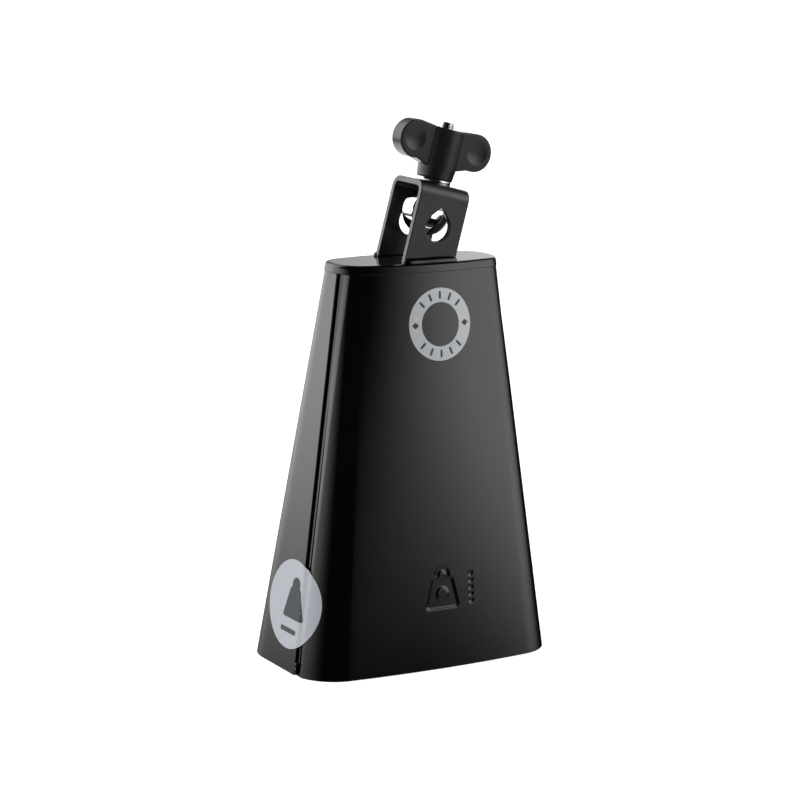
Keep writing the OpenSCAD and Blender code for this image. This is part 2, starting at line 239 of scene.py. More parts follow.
def spaced(start, stop, step):
    """Even steps from start to stop, none longer than step."""
    count = max(1, ceil(abs(stop - start) / step - 1e-9))
    return [mix(start, stop, k / count) for k in range(count + 1)]


def joined(*runs):
    """Runs of rising values joined end to end, with the shared values once."""
    values = [runs[0][0]]
    for run in runs:
        values += [value for value in run if value > values[-1] + 1e-9]
    return values


def turned(profile, steps=96):
    """Spins an open or closed profile of (radius, height) points about the Z axis."""
    bm = bmesh.new()
    verts = [bm.verts.new((r, 0, z)) for r, z in profile]
    edges = [bm.edges.new(pair) for pair in zip(verts, verts[1:] + verts[:1])]
    bmesh.ops.spin(
        bm, geom=verts + edges, cent=(0, 0, 0), axis=(0, 0, 1), dvec=(0, 0, 0),
        angle=2 * pi, steps=steps, use_merge=True,
    )
    bmesh.ops.remove_doubles(bm, verts=bm.verts, dist=1e-7)
    bmesh.ops.recalc_face_normals(bm, faces=bm.faces)
    return bm


def gathered(parts):
    """Several bmeshes in one."""
    whole = bmesh.new()
    for bm in parts:
        mesh = bpy.data.meshes.new("part")
        bm.to_mesh(mesh)
        bm.free()
        whole.from_mesh(mesh)
        bpy.data.meshes.remove(mesh)
    return whole


def arc(cx, cz, r, start, stop, steps):
    """Points on an arc, angles in degrees."""
    return [
        (cx + r * cos(radians(mix(start, stop, k / steps))),
         cz + r * sin(radians(mix(start, stop, k / steps))))
        for k in range(steps + 1)
    ]


def plate(points, low, high):
    """A flat outline in X and Z, extruded along Y from low to high."""
    bm = bmesh.new()
    face = bm.faces.new([bm.verts.new((x, low, z)) for x, z in points])
    made = bmesh.ops.extrude_face_region(bm, geom=[face])
    moved = [item for item in made["geom"] if isinstance(item, bmesh.types.BMVert)]
    bmesh.ops.translate(bm, verts=moved, vec=(0, high - low, 0))
    bmesh.ops.recalc_face_normals(bm, faces=bm.faces)
    return bm


def lean(bm):
    """Moves a piece drawn upright on the origin to its place on the tilted bracket."""
    bm.transform(LEAN)
    return bm


# ---------------------------------------------------------------- shader helpers
class Finish:
    """A Principled material and short calls for the nodes that drive it."""

    def __init__(self, name, **constants):
        self.material = bpy.data.materials.new(name)
        self.material.use_nodes = True
        self.nodes = self.material.node_tree.nodes
        self.links = self.material.node_tree.links
        self.shader = self.nodes["Principled BSDF"]
        for key, value in constants.items():
            socket = self.shader.inputs[key.replace("_", " ")]
            socket.default_value = value
        self.place = self.nodes.new("ShaderNodeTexCoord").outputs["Object"]

    def group(self, tree, **inputs):
        node = self.nodes.new("ShaderNodeGroup")
        node.node_tree = tree
        self.links.new(self.place, node.inputs["Place"])
        for key, value in inputs.items():
            node.inputs[key.replace("_", " ")].default_value = value
        return node.outputs

    def ramp(self, mask, low, high):
        """A mask from 0 to 1 turned into a range of values."""
        node = self.nodes.new("ShaderNodeMapRange")
        node.inputs["To Min"].default_value = low
        node.inputs["To Max"].default_value = high
        self.links.new(mask, node.inputs["Value"])
        return node.outputs["Result"]

    def blend(self, mask, first, second):
        """Two colours, or a colour over another socket's colour, mixed by a mask."""
        node = self.nodes.new("ShaderNodeMix")
        node.data_type = "RGBA"
        self.links.new(mask, node.inputs["Factor"])
        for name, value in (("A", first), ("B", second)):
            socket = [s for s in node.inputs if s.name == name and s.type == "RGBA"][0]
            if isinstance(value, tuple):
                socket.default_value = (*value, 1)
            else:
                self.links.new(value, socket)
        return [s for s in node.outputs if s.type == "RGBA"][0]

    def bump(self, height, distance, strength=1.0, under=None):
        node = self.nodes.new("ShaderNodeBump")
        node.inputs["Strength"].default_value = strength
        node.inputs["Distance"].default_value = distance
        self.links.new(height, node.inputs["Height"])
        if under is not None:
            self.links.new(under, node.inputs["Normal"])
        return node.outputs["Normal"]

    def drive(self, socket, value):
        self.links.new(value, self.shader.inputs[socket])


def effect_group(name, inputs, outputs):
    """An empty node group with a Place vector input, float inputs and float outputs."""
    tree = bpy.data.node_groups.new(name, "ShaderNodeTree")
    tree.interface.new_socket("Place", in_out="INPUT", socket_type="NodeSocketVector")
    for key, value in inputs.items():
        socket = tree.interface.new_socket(key, in_out="INPUT", socket_type="NodeSocketFloat")
        socket.default_value = value
    for key in outputs:
        tree.interface.new_socket(key, in_out="OUTPUT", socket_type="NodeSocketFloat")
    return tree, tree.nodes.new("NodeGroupInput"), tree.nodes.new("NodeGroupOutput")


def noise_in(tree, source, scale, detail=2.0, roughness=0.5):
    """A noise texture in a group; scale is a socket or a number."""
    node = tree.nodes.new("ShaderNodeTexNoise")
    tree.links.new(source, node.inputs["Vector"])
    node.inputs["Detail"].default_value = detail
    node.inputs["Roughness"].default_value = roughness
    if isinstance(scale, (int, float)):
        node.inputs["Scale"].default_value = scale
    else:
        tree.links.new(scale, node.inputs["Scale"])
    return node.outputs["Fac"]


def range_in(tree, value, low, high, to_low=0.0, to_high=1.0):
    node = tree.nodes.new("ShaderNodeMapRange")
    for key, number in zip(("From Min", "From Max", "To Min", "To Max"), (low, high, to_low, to_high)):
        node.inputs[key].default_value = number
    tree.links.new(value, node.inputs["Value"])
    return node.outputs["Result"]


def math_in(tree, operation, first, second):
    node = tree.nodes.new("ShaderNodeMath")
    node.operation = operation
    for socket, value in zip(node.inputs, (first, second)):
        if isinstance(value, (int, float)):
            socket.default_value = value
        else:
            tree.links.new(value, socket)
    return node.outputs["Value"]


def make_handling():
    """Faint smears, fine dust and hairlines that a shop-handled surface carries."""
    tree, given, result = effect_group(
        "handling_marks", {"Smear size": 30.0, "Dust size": 1400.0}, ["Smear", "Dust", "Hairline"]
    )
    place = given.outputs["Place"]
    smear = noise_in(tree, place, given.outputs["Smear size"], 4.0, 0.62)
    tree.links.new(range_in(tree, smear, 0.42, 0.72), result.inputs["Smear"])
    specks = tree.nodes.new("ShaderNodeTexVoronoi")
    tree.links.new(place, specks.inputs["Vector"])
    tree.links.new(given.outputs["Dust size"], specks.inputs["Scale"])
    dots = range_in(tree, specks.outputs["Distance"], 0.10, 0.04)
    patches = range_in(tree, noise_in(tree, place, 60.0), 0.55, 0.75)
    tree.links.new(math_in(tree, "MULTIPLY", dots, patches), result.inputs["Dust"])
    stretch = tree.nodes.new("ShaderNodeMapping")
    stretch.inputs["Rotation"].default_value = (0.3, 0.5, 0.9)
    stretch.inputs["Scale"].default_value = (1.0, 26.0, 26.0)
    tree.links.new(place, stretch.inputs["Vector"])
    lines = noise_in(tree, stretch.outputs["Vector"], 55.0, 3.0, 0.7)
    tree.links.new(range_in(tree, lines, 0.68, 0.74), result.inputs["Hairline"])
    return tree


def make_skin():
    """Surface relief: a soft long wave with a fine tooth on it."""
    tree, given, result = effect_group(
        "coating_skin", {"Wave size": 260.0, "Tooth size": 2600.0, "Tooth share": 0.3}, ["Height", "Tooth"]
    )
    place = given.outputs["Place"]
    wave = noise_in(tree, place, given.outputs["Wave size"], 1.0)
    tooth = noise_in(tree, place, given.outputs["Tooth size"], 2.0, 0.6)
    shared = math_in(tree, "MULTIPLY", tooth, given.outputs["Tooth share"])
    tree.links.new(math_in(tree, "ADD", wave, shared), result.inputs["Height"])
    tree.links.new(tooth, result.inputs["Tooth"])
    return tree


HANDLING = make_handling()
SKIN = make_skin()


# ---------------------------------------------------------------- finishes
def gloss_lacquer(name, wave=220.0, relief=0.006 * MM, rough=(0.025, 0.065)):
    """Black stove lacquer over steel: deep, glossy, with a slight orange peel."""
    f = Finish(name, IOR=1.5)
    marks = f.group(HANDLING, Smear_size=24.0)
    skin = f.group(SKIN, Wave_size=wave, Tooth_size=1800.0, Tooth_share=0.15)
    dark = f.blend(f.ramp(marks["Smear"], 0.0, 1.0), (0.0012, 0.0012, 0.0014), (0.0022, 0.0022, 0.0025))
    f.drive("Base Color", f.blend(f.ramp(marks["Dust"], 0.0, 0.20), dark, (0.16, 0.16, 0.155)))
    f.drive("Roughness", f.ramp(marks["Smear"], *rough))
    f.drive("Normal", f.bump(skin["Height"], relief))
    return f.material


def satin_coat(name):
    """Satin black powder coat on the strap."""
    f = Finish(name, Specular_IOR_Level=0.7, IOR=1.5)
    marks = f.group(HANDLING, Smear_size=70.0, Dust_size=1800.0)
    skin = f.group(SKIN, Wave_size=900.0, Tooth_size=4200.0, Tooth_share=0.4)
    dark = f.blend(skin["Tooth"], (0.006, 0.006, 0.0064), (0.012, 0.012, 0.0125))
    f.drive("Base Color", f.blend(f.ramp(marks["Dust"], 0.0, 0.25), dark, (0.2, 0.2, 0.195)))
    f.drive("Roughness", f.ramp(marks["Smear"], 0.30, 0.40))
    f.drive("Normal", f.bump(skin["Height"], 0.010 * MM))
    return f.material


def chrome_plate(name):
    """Bright chrome with hairlines from handling."""
    f = Finish(name, Metallic=1.0)
    marks = f.group(HANDLING, Smear_size=120.0)
    skin = f.group(SKIN, Wave_size=500.0, Tooth_size=3000.0, Tooth_share=0.1)
    f.drive("Base Color", f.blend(marks["Smear"], (0.84, 0.825, 0.805), (0.76, 0.745, 0.725)))
    f.drive("Roughness", f.ramp(marks["Hairline"], 0.07, 0.22))
    f.drive("Normal", f.bump(skin["Height"], 0.004 * MM))
    return f.material


def zinc_plate(name):
    """Dull zinc on the threaded sleeve."""
    f = Finish(name, Metallic=1.0)
    marks = f.group(HANDLING, Smear_size=300.0)
    skin = f.group(SKIN, Wave_size=1500.0, Tooth_size=5000.0, Tooth_share=0.5)
    f.drive("Base Color", f.blend(marks["Smear"], (0.52, 0.52, 0.50), (0.38, 0.38, 0.36)))
    f.drive("Roughness", f.ramp(skin["Tooth"], 0.28, 0.5))
    f.drive("Normal", f.bump(skin["Height"], 0.01 * MM))
    return f.material


def moulded_nylon(name):
    """Black moulded nylon with a fine spark-eroded grain."""
    f = Finish(name, IOR=1.53, Specular_IOR_Level=0.42)
    marks = f.group(HANDLING, Smear_size=90.0, Dust_size=1900.0)
    skin = f.group(SKIN, Wave_size=1300.0, Tooth_size=3600.0, Tooth_share=0.8)
    dark = f.blend(skin["Tooth"], (0.007, 0.007, 0.008), (0.013, 0.013, 0.0145))
    f.drive("Base Color", f.blend(f.ramp(marks["Dust"], 0.0, 0.3), dark, (0.22, 0.22, 0.21)))
    f.drive("Roughness", f.ramp(marks["Smear"], 0.28, 0.38))
    f.drive("Normal", f.bump(skin["Height"], 0.012 * MM))
    return f.material


def silver_vinyl(name, light, shade, rough, gloss):
    """Silver-grey printed vinyl or foil with a soft sheen."""
    f = Finish(name, IOR=1.46, Specular_IOR_Level=gloss)
    marks = f.group(HANDLING, Smear_size=60.0, Dust_size=2200.0)
    skin = f.group(SKIN, Wave_size=160.0, Tooth_size=3800.0, Tooth_share=0.1)
    grain = f.blend(f.ramp(skin["Tooth"], 0.0, 0.5), light, shade)
    f.drive("Base Color", f.blend(f.ramp(marks["Dust"], 0.0, 0.35), grain, (0.32, 0.32, 0.33)))
    f.drive("Roughness", f.ramp(marks["Smear"], *rough))
    f.drive("Normal", f.bump(skin["Height"], 0.008 * MM))
    return f.material


def grey_ink(name):
    """Dark grey printing ink."""
    f = Finish(name, IOR=1.46, Specular_IOR_Level=0.25)
    marks = f.group(HANDLING, Smear_size=200.0)
    skin = f.group(SKIN, Wave_size=400.0, Tooth_size=4200.0, Tooth_share=0.6)
    f.drive("Base Color", f.blend(skin["Tooth"], (0.034, 0.037, 0.043), (0.047, 0.051, 0.059)))
    f.drive("Roughness", f.ramp(marks["Smear"], 0.34, 0.5))
    f.drive("Normal", f.bump(skin["Height"], 0.004 * MM))
    return f.material


LACQUER = gloss_lacquer("gloss_black_lacquer")
WELD_LACQUER = gloss_lacquer("lacquered_weld_bead", 500.0, 0.012 * MM, (0.03, 0.08))
STRAP_COAT = satin_coat("satin_black_coat")
CHROME = chrome_plate("bright_chrome_plate")
ZINC = zinc_plate("zinc_plate")
NYLON = moulded_nylon("black_moulded_nylon")
RING_FOIL = silver_vinyl(
    "silver_ring_foil", (0.385, 0.41, 0.43), (0.345, 0.365, 0.38), (0.22, 0.30), 1.0
)
STICKER_VINYL = silver_vinyl(
    "silver_sticker_vinyl", (0.41, 0.435, 0.475), (0.36, 0.385, 0.42), (0.34, 0.44), 0.25
)
INK = grey_ink("dark_grey_ink")


# ---------------------------------------------------------------- bell shells
def emblem_edge(x, z):
    """Distance to the edge of the pressed bell sign, negative inside it, in millimetres."""
    u, v = (x - EMBLEM_AT[0]) / MM, (z - EMBLEM_AT[1]) / MM
    foot, top, half_h, round_r = 9.6, 5.6, 7.8, 1.8
    v_bell = v + 2.2
    slope = (foot - top) / (2 * half_h)
    side = (abs(u) - mix(foot, top, (v_bell + half_h) / (2 * half_h))) / hypot(1, slope) + round_r
    end = abs(v_bell) - half_h + round_r
    bell = hypot(max(side, 0), max(end, 0)) + min(max(side, end), 0) - round_r
    handle = abs(hypot(u, v - 6.8) - 3.0) - 1.0
    eye = hypot(u, v_bell + 0.6) - 3.3
    sign = max(min(bell, handle), -eye)
    dots = min(hypot(u - 17.2, v - step) - 1.05 for step in (-8.0, -4.6, -1.2, 2.2, 5.6))
    return min(sign, dots)


def front_skin(u, z):
    """Outer face of the front shell: the panel, then each corner, the groove and the flange."""
    s, across = section(z), abs(u)
    if across <= 2:
        x = panel_x(z, u)
        pressed = EMBLEM_DEPTH * smooth(0.5 - emblem_edge(x, z) / 0.9)
        return Vector((*panel_point(z, x, pressed), z))
    y_full = s.seam_y - GROOVE_FLOOR - GROOVE_RAMP
    start = asin(min(1.0, (s.corner_y - y_full) / s.corner))
    if across <= 3:
        x, y = corner_point(z, mix(s.end, start, across - 2), 0)
    elif across <= 4:
        y = mix(y_full, y_full + GROOVE_RAMP, across - 3)
        x = wall_x(z, y, SHEET * mix(across - 3, smooth(across - 3), 0.3))
    else:
        y = mix(s.seam_y - GROOVE_FLOOR, s.seam_y + LAP, across - 4)
        x = wall_x(z, y, SHEET)
    return Vector((copysign(x, u), y, z))


def back_skin(u, z):
    """Outer face of the back shell: the panel, then each corner and side wall."""
    s, across = section(z), abs(u)
    if across <= 1:
        x, y = panel_point(z, u * s.edge_x, 0)
    elif across <= 2:
        x, y = corner_point(z, mix(s.end, 0, across - 1), 0)
    else:
        y = mix(-s.corner_y, s.seam_y, across - 2)
        x = s.half_w
        return Vector((copysign(x, u), y, z))
    return Vector((copysign(x, u), -y, z))


def shell_rows(fine=None):
    """Heights of the shell's mesh rows, close at both edges and across a fine stretch."""
    near = 0.35 * MM
    low, high = fine or (60 * MM, 60 * MM)
    return joined(
        [0, near], spaced(near, low, 5 * MM), spaced(low, high, 0.4 * MM),
        spaced(high, SHELL_TOP - near, 6 * MM), [SHELL_TOP - near, SHELL_TOP],
    )


def both_ways(values):
    """A rising run from 0 mirrored to the negative side."""
    return sorted({round(v, 9) for v in values} | {round(-v, 9) for v in values})


def sheet_shell(name, columns, rows, skin, replaces):
    """A shell of even sheet with its cut edges eased."""
    bm = laid_grid(columns, rows, skin)
    bmesh.ops.recalc_face_normals(bm, faces=bm.faces)
    middle = min(bm.faces, key=lambda f: (abs(f.calc_center_median().x), f.calc_center_median().z))
    if middle.normal.y * middle.calc_center_median().y < 0:
        bmesh.ops.reverse_faces(bm, faces=bm.faces)
    bm = with_modifiers(
        bm,
        ("SOLIDIFY", {"thickness": SHEET, "offset": -1.0, "use_even_offset": True}),
        ("BEVEL", {"width": 0.22 * MM, "segments": 2, "limit_method": "ANGLE", "angle_limit": radians(60)}),
    )
    for vert in bm.verts:
        vert.co.z = max(0.0, vert.co.z)
    return finish_piece(bm, name, LACQUER, "bell", [replaces])


def make_shells():
    """Both shells; the front one has finer mesh where the sign is pressed in."""
    near = 0.03
    across = joined(spaced(0, 1, 1 / 8), spaced(1, 2, 1 / 7))
    sides = joined(
        spaced(2, 2.97, 1 / 14), [3, 3.05, 3.15, 3.3, 3.5, 3.7, 3.85, 3.95, 4, 4.02],
        spaced(4.02, 5 - near, 1 / 6), [5],
    )
    fine_low, fine_high = -0.5, 0.88
    columns = sorted(
        {round(v, 9) for v in both_ways(joined(across, sides)) if not fine_low < v < fine_high}
        | {round(v, 9) for v in spaced(fine_low, fine_high, 0.4 * MM / FLAT_HALF)}
    )
    rows = shell_rows((EMBLEM_AT[1] - 12.5 * MM, EMBLEM_AT[1] + 12.5 * MM))
    sheet_shell("front_shell_sheet", columns, rows, front_skin, "front_shell")
    columns = both_ways(joined(
        spaced(0, 1, 1 / 14), spaced(1, 2, 1 / 14), spaced(2, 3 - near, 1 / 8), [3],
    ))
    sheet_shell("back_shell_sheet", columns, shell_rows(), back_skin, "back_shell")


def crown_point(t, z, inset):
    """Point on a quarter of the outline; t runs from 0 in the middle of the front to 1 at the side."""
    s = section(z)
    if t < 0.5:
        return panel_point(z, (s.bow_r - inset) * cos(s.end) * 2 * t, inset)
    return corner_point(z, mix(s.end, 0, 2 * t - 1), inset)


def make_top_cap():
    """The crown: a plate with a rolled edge and a short skirt, open underneath."""
    steps = 28
    turns = joined(*[[quarter + k / steps for k in range(steps + 1)] for quarter in range(4)])
    skirt = [(SHELL_TOP, -CROWN_PROUD), (SHELL_TOP + 0.3 * MM, -CROWN_PROUD)]
    roll = [
        (BELL_H - CROWN_EDGE * (1 - sin(a)), CROWN_EDGE * (1 - cos(a)) - CROWN_PROUD)
        for a in (radians(10 * k) for k in range(10))
    ]
    flat = [(BELL_H, CROWN_EDGE), (BELL_H, 4 * MM)]

    def place(turn, level):
        z, inset = level
        quarter = min(3, int(turn))
        t = turn - quarter
        x, y = crown_point(t if quarter % 2 == 0 else 1 - t, z, inset)
        x = -x if quarter in (2, 3) else x
        y = -y if quarter in (1, 2) else y
        return Vector((x, y, z))

    bm = laid_grid(turns, skirt + roll + flat, place)
    bmesh.ops.remove_doubles(bm, verts=bm.verts, dist=2e-6)
    top = [e for e in bm.edges if e.is_boundary and min(v.co.z for v in e.verts) > BELL_H - 1e-6]
    bmesh.ops.holes_fill(bm, edges=top, sides=0)
    bmesh.ops.recalc_face_normals(bm, faces=bm.faces)
    if max(bm.faces, key=lambda f: f.calc_area()).normal.z < 0:
        bmesh.ops.reverse_faces(bm, faces=bm.faces)
    bm = with_modifiers(
        bm,
        ("SOLIDIFY", {"thickness": SHEET, "offset": -1.0, "use_even_offset": True}),
        ("BEVEL", {"width": 0.15 * MM, "segments": 2, "limit_method": "ANGLE", "angle_limit": radians(60)}),
    )
    finish_piece(bm, "top_cap_plate", LACQUER, "bell", ["top_cap"])


def bead(length, radius, ripple, steps=72):
    """A weld bead lying along X: a round run with stacked ripples and tapered ends."""
    def place(u, v):
        t = 2 * u - 1
        taper = sqrt(max(0.0, 1 - abs(t) ** 9))
        crest = abs(sin(pi * length * u / ripple + 0.9 * sin(7 * u) + 0.5 * sin(17 * u)))
        r = radius * taper * (0.96 + 0.008 * crest + 0.03 * sin(11 * u + 1.0))
        return Vector((length * t / 2, -r * cos(v), r * sin(v)))

    return close_up(laid_grid(spaced(0, 1, 1 / steps), spaced(0, 2 * pi, pi / 12), place), 1e-6)


def make_welds():
    """One bead along the foot of each leg of the bracket."""
    low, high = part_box("bracket_welds")
    length, middle = high.x - low.x, (low.x + high.x) / 2
    beads = []
    for side in (-1, 1):
        bm = bead(length, WELD_R, 1.5 * MM, 180)
        if side > 0:
            half_turn = Matrix.Rotation(pi, 3, "Z")
            bmesh.ops.rotate(bm, verts=bm.verts, cent=(0, 0, 0), matrix=half_turn)
        bmesh.ops.translate(bm, verts=bm.verts, vec=(middle, side * STRAP_DEPTH / 2, BELL_H))
        beads.append(bm)
    finish_piece(
        gathered(beads), "bracket_weld_beads", WELD_LACQUER, "bell", ["bracket_welds"]
    )


def make_tacks():
    """The short weld at the mouth end of each seam, run into the groove."""
    low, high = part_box("seam_tacks")
    height = high.z - low.z
    z = (low.z + high.z) / 2
    y = section(z).seam_y - TACK_IN
    tacks = []
    for side in (-1, 1):
        bm = bead(height, TACK_R, 1.3 * MM, 40)
        bmesh.ops.rotate(bm, verts=bm.verts, cent=(0, 0, 0), matrix=Matrix.Rotation(-pi / 2, 3, "Y"))
        x = side * (wall_x(z, y, SHEET) + TACK_OUT)
        bmesh.ops.translate(bm, verts=bm.verts, vec=(x, y, z))
        tacks.append(bm)
    finish_piece(gathered(tacks), "seam_tack_welds", WELD_LACQUER, "bell", ["seam_tacks"])


# ---------------------------------------------------------------- clamp bracket and hardware
def strap_outline(depth, height, bend):
    """Half-open U outline in Y and Z, from the left foot over the bridge to the right foot."""
    half, foot = depth / 2, -8 * MM
    return (
        [(-half, foot)]
        + arc(-half + bend, height - bend, bend, 180, 90, 14)
        + arc(half - bend, height - bend, bend, 90, 0, 14)
        + [(half, foot)]
    )


def teardrop(low, high):
    """The rod hole's outline: a round hole drawn up to a small rounded tip."""
    tip_z = ROD_HOLE_Z + ROD_HOLE_TIP - ROD_HOLE_TIP_R
    points = arc(0, ROD_HOLE_Z, ROD_HOLE_R, 137, 403, 72) + arc(0, tip_z, ROD_HOLE_TIP_R, 45, 135, 6)
    return plate(points, low, high)


def make_bracket():
    """The U strap with a rod hole through both legs, its edges eased by the press."""
    outer = strap_outline(STRAP_DEPTH, STRAP_H, BEND_R)
    inner = strap_outline(STRAP_DEPTH - 2 * STRAP_T, STRAP_H - STRAP_T, BEND_R - STRAP_T)
    bm = plate(outer + inner[::-1], -STRAP_W / 2, STRAP_W / 2)
    bm.transform(Matrix.Rotation(pi / 2, 4, "Z"))
    shank_hole = bmesh.new()
    bmesh.ops.create_cone(
        shank_hole, cap_ends=True, segments=64, radius1=CLEAR_R, radius2=CLEAR_R, depth=20 * MM,
        matrix=Matrix.Translation((0, 0, STRAP_H)),
    )
    bm = cut_with(bm, [teardrop(-STRAP_DEPTH, STRAP_DEPTH), shank_hole])
    lean(bm)
    cut = bmesh.ops.bisect_plane(
        bm, geom=bm.verts[:] + bm.edges[:] + bm.faces[:], plane_co=(0, 0, BELL_H),
        plane_no=(0, 0, -1), clear_outer=True,
    )
    rim = [item for item in cut["geom_cut"] if isinstance(item, bmesh.types.BMEdge)]
    bmesh.ops.holes_fill(bm, edges=rim, sides=0)
    bm = with_modifiers(
        bm,
        ("BEVEL", {"width": 0.45 * MM, "segments": 3, "limit_method": "ANGLE", "angle_limit": radians(40)}),
    )
    broad = [f for f in bm.faces if f.calc_area() > (4 * MM) ** 2]
    bmesh.ops.inset_individual(bm, faces=broad, thickness=0.12 * MM, use_even_offset=True)
    finish_piece(bm, "clamp_bracket_strap", STRAP_COAT, "bell", ["clamp_bracket"], 30)


def make_washer():
    """Flat washer with eased edges on the bridge."""
    r, low, high, ease = WASHER_R, STRAP_H, STRAP_H + WASHER_T, 0.35 * MM
    profile = (
        [(CLEAR_R, low), (r - ease, low)]
        + arc(r - ease, low + ease, ease, -90, 0, 4)[1:]
        + arc(r - ease, high - ease, ease, 0, 90, 4)
        + [(CLEAR_R + ease, high), (CLEAR_R, high - ease)]
    )
    finish_piece(lean(turned(profile)), "bridge_washer", CHROME, "bell", ["washer"])


def rounded_box(x0, x1, y0, y1, r, steps=6):
    """Corner arcs of a rounded rectangle, one closed run."""
    return (
        arc(x1 - r, y0 + r, r, -90, 0, steps) + arc(x1 - r, y1 - r, r, 0, 90, steps)
        + arc(x0 + r, y1 - r, r, 90, 180, steps) + arc(x0 + r, y0 + r, r, 180, 270, steps)
    )


def thread_radius(turn, z, root, crest):
    """Radius of a right-hand thread with flat crests at an angle (in turns) and a height."""
    phase = (z / PITCH - turn) % 1
    flank = abs(2 * phase - 1)
    return mix(root, crest, smooth((flank - 0.12) / 0.76))


def make_eye_bolt():
    """The forged eye with its threaded shank, all one plated piece."""
    side, ease, margin = EYE_W / 2, 0.7 * MM, 0.3 * MM
    half = (
        [(EYE_R, side - EYE_EDGE - margin)]
        + arc(EYE_R - EYE_EDGE, side - EYE_EDGE, EYE_EDGE, 0, 90, 7)
        + [(EYE_R - EYE_EDGE - margin, side), (EYE_BORE_R + ease + margin, side)]
        + arc(EYE_BORE_R + ease, side - ease, ease, 90, 180, 5)
        + [(EYE_BORE_R, side - ease - margin)]
    )
    eye = turned([(r, -z) for r, z in half[::-1]] + half, 128)
    eye.transform(Matrix.Translation((0, 0, EYE_Z)) @ Matrix.Rotation(pi / 2, 4, "X"))
    low, chamfer = EYE_Z + EYE_R - 1.6 * MM, 0.6 * MM

    def place(turn, z):
        crest = min(SHANK_R, SHANK_R - chamfer + (SHANK_TIP - z))
        run_in = smooth((z - EYE_Z - EYE_R - 0.5 * MM) / (1.5 * MM))
        root = mix(SHANK_R, SHANK_R - 0.68 * MM, run_in)
        r = min(thread_radius(turn, z, root, SHANK_R), crest)
        return Vector((r * cos(2 * pi * turn), r * sin(2 * pi * turn), z))

    shank = laid_grid(spaced(0, 1, 1 / 56), spaced(low, SHANK_TIP, PITCH / 11), place)
    close_up(shank)
    bolt = gathered([eye, shank])
    finish_piece(lean(bolt), "eye_bolt_forging", CHROME, "eye_bolt", ["eye_bolt"], 40)


def wing_points(side):
    """Outline of one wing, seen square on, from the hub round its tip and back."""
    top, foot, inside = HUB_Z + HUB_H, WING_Z - WING_R - 2.3 * MM, HUB_R - 1.4 * MM
    points = (
        [(0, foot), (HUB_R * 0.75, foot)]
        + arc(WING_X, WING_Z, WING_R, -103, 97, 40)
        + [(inside, top + 0.3 * MM), (inside, top - 3 * MM), (0, top - 3 * MM)]
    )
    return [(side * x, z) for x, z in points]


def make_wing_nut():
    """The moulded body: hub, two wings with a thumb dish on each face, one solid."""
    top, ease, bore = HUB_Z + HUB_H, 0.7 * MM, 6.2 * MM
    profile = (
        [(bore, HUB_Z), (HUB_LOW_R - 0.4 * MM, HUB_Z), (HUB_LOW_R, HUB_Z + 0.4 * MM)]
        + [(mix(HUB_LOW_R, HUB_R, smooth(k / 6)), HUB_Z + 0.4 * MM + HUB_FLARE * k / 6) for k in range(1, 7)]
        + arc(HUB_R - ease, top - ease, ease, 0, 90, 5)
        + [(CLEAR_R, top), (CLEAR_R, top - 4.6 * MM), (bore, top - 4.6 * MM)]
    )
    body = turned(profile, 120)
    wings = []
    for side in (-1, 1):
        wing = plate(wing_points(side), -WING_T / 2, WING_T / 2)
        rims = [
            e for e in wing.edges
            if abs(e.verts[0].co.y - e.verts[1].co.y) < 1e-9 and max(abs(v.co.x) for v in e.verts) > HUB_R
        ]
        bmesh.ops.bevel(
            wing, geom=rims, offset=0.7 * MM, affect="EDGES", segments=4, profile=0.5,
            offset_type="OFFSET", material=-1,
        )
        wings.append(wing)
    body = cut_with(body, wings, "UNION")
    ball_r = (DISH_R**2 + DISH_DEPTH**2) / (2 * DISH_DEPTH)
    dishes = []
    for side in (-1, 1):
        for face in (-1, 1):
            ball = bmesh.new()
            bmesh.ops.create_uvsphere(
                ball, u_segments=160, v_segments=96, radius=ball_r,
                matrix=Matrix.Translation(
                    (side * (WING_X + 1 * MM), face * (WING_T / 2 + ball_r - DISH_DEPTH), WING_Z)
                ),
            )
            dishes.append(ball)
    core = bmesh.new()
    bmesh.ops.create_cone(
        core, cap_ends=True, segments=64, radius1=CLEAR_R, radius2=CLEAR_R, depth=60 * MM,
        matrix=Matrix.Translation((0, 0, WING_Z)),
    )
    body = cut_with(body, dishes + [core])
    body = with_modifiers(body, ("REMESH", {"mode": "VOXEL", "voxel_size": 0.22 * MM}))
    for _ in range(2):
        bmesh.ops.smooth_vert(
            body, verts=body.verts, factor=0.5, use_axis_x=True, use_axis_y=True, use_axis_z=True
        )
    finish_piece(lean(body), "wing_nut_body", NYLON, "wing_nut", ["wing_nut"], 60)


def finish_sleeve():
    sleeve = frame["nodes"]["threaded_sleeve"]
    sleeve.data.materials.clear()
    sleeve.data.materials.append(ZINC)


# ---------------------------------------------------------------- marks
def panel_skin(x, z, lift):
    return Vector((*panel_point(z, x, -lift), z))


def left_skin(s, z, lift):
    """Place on the left wall; s runs towards the back, and round the front corner when negative."""
    at = section(z)
    over = at.corner_y - s
    groove = (s - at.seam_y + (GROOVE_FLOOR + GROOVE_RAMP) / 2) / (2.7 * MM)
    sag = 0.4 * MM * max(0.0, 1 - groove * groove) ** 2
    if s > at.seam_y:
        return Vector((-at.half_w - lift + sag, s, z))
    x, y = corner_point(z, over / at.corner, sag - lift)
    return Vector((-x, y, z))


